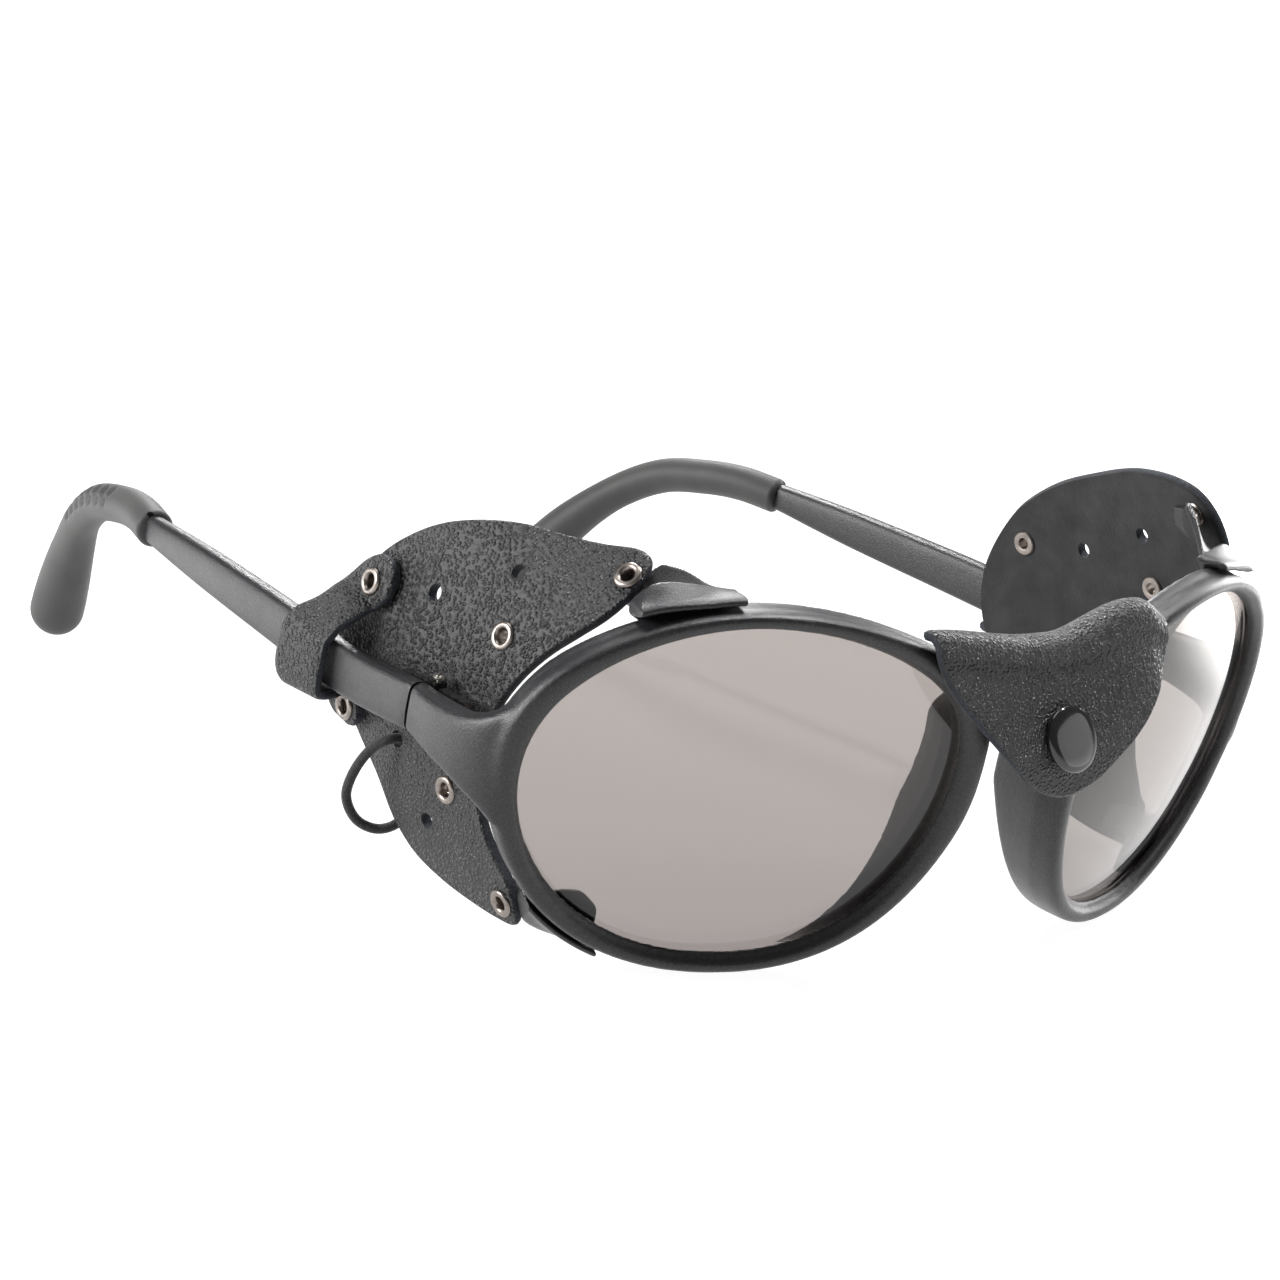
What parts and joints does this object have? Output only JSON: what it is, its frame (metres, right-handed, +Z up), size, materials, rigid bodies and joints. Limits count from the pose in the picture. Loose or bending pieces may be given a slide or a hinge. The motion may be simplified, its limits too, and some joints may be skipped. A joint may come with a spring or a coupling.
{
  "type": "glacier glasses",
  "caption": "Round sunglasses for snow and glacier travel, with leather side shields, a leather nose cover with a press stud, folding temples and rubber ear hooks.",
  "frame": {"origin": "on the ground under the middle of the whole pair's box, temples open", "axes": "+Z up, the lenses face -Y, the temples run to +Y, the wearer's left side is at +X"},
  "size_m": [0.1392, 0.1602, 0.0557],
  "materials": {
    "nylon": "satin black moulded nylon",
    "lens_glass": "polished, brown-grey tint with a faint silver flash",
    "rubber": "matte",
    "leather": "pebbled black grain outside, suede inside",
    "nickel": "aged nickel, worn",
    "steel": "plain",
    "lacquer": "gloss black lacquer",
    "elastic": "braided black elastic"
  },
  "bodies": {
    "frame": {"front_frame": "nylon", "nose_cover_back": "leather", "snap_stud": "steel", "snap_post": "steel", "right_lens": "lens_glass", "right_side_shield": "leather", "right_hinge_frame_leaf": "steel", "right_hinge_screw": "steel", "right_mid_upper_eyelet": "nickel", "right_mid_lower_eyelet": "nickel", "right_clip_upper_eyelet": "nickel", "right_clip_lower_eyelet": "nickel", "right_upper_clip": "nylon", "right_lower_clip": "nylon", "left_lens": "lens_glass", "left_side_shield": "leather", "left_hinge_frame_leaf": "steel", "left_hinge_screw": "steel", "left_mid_upper_eyelet": "nickel", "left_mid_lower_eyelet": "nickel", "left_clip_upper_eyelet": "nickel", "left_clip_lower_eyelet": "nickel", "left_upper_clip": "nylon", "left_lower_clip": "nylon"},
    "right_temple": {"right_temple": "nylon", "right_ear_sleeve": "rubber", "right_core_wire": "steel", "right_hinge_temple_leaf": "steel", "right_temple_strap": "leather", "right_strap_upper_eyelet": "nickel", "right_strap_lower_eyelet": "nickel", "right_elastic_loop": "elastic"},
    "left_temple": {"left_temple": "nylon", "left_ear_sleeve": "rubber", "left_core_wire": "steel", "left_hinge_temple_leaf": "steel", "left_temple_strap": "leather", "left_strap_upper_eyelet": "nickel", "left_strap_lower_eyelet": "nickel", "left_elastic_loop": "elastic"},
    "nose_flap": {"nose_cover_flap": "leather", "snap_cap": "lacquer", "snap_socket": "steel"}
  },
  "joints": [
    {"name": "left_temple_fold", "type": "hinge", "parent": "frame", "child": "left_temple", "pos_m": [0.0628, -0.03019, 0.0275], "axis": [0, 0, 1], "range_deg": [0, 83], "deforming": ["left_side_shield"]},
    {"name": "right_temple_fold", "type": "hinge", "parent": "frame", "child": "right_temple", "pos_m": [-0.0628, -0.03019, 0.0275], "axis": [0, 0, -1], "range_deg": [0, 72], "deforming": ["right_side_shield"]},
    {"name": "nose_flap_lift", "type": "hinge", "parent": "frame", "child": "nose_flap", "pos_m": [0, -0.06934, 0.0464], "axis": [-1, 0, 0], "range_deg": [0, 110]}
  ]
}
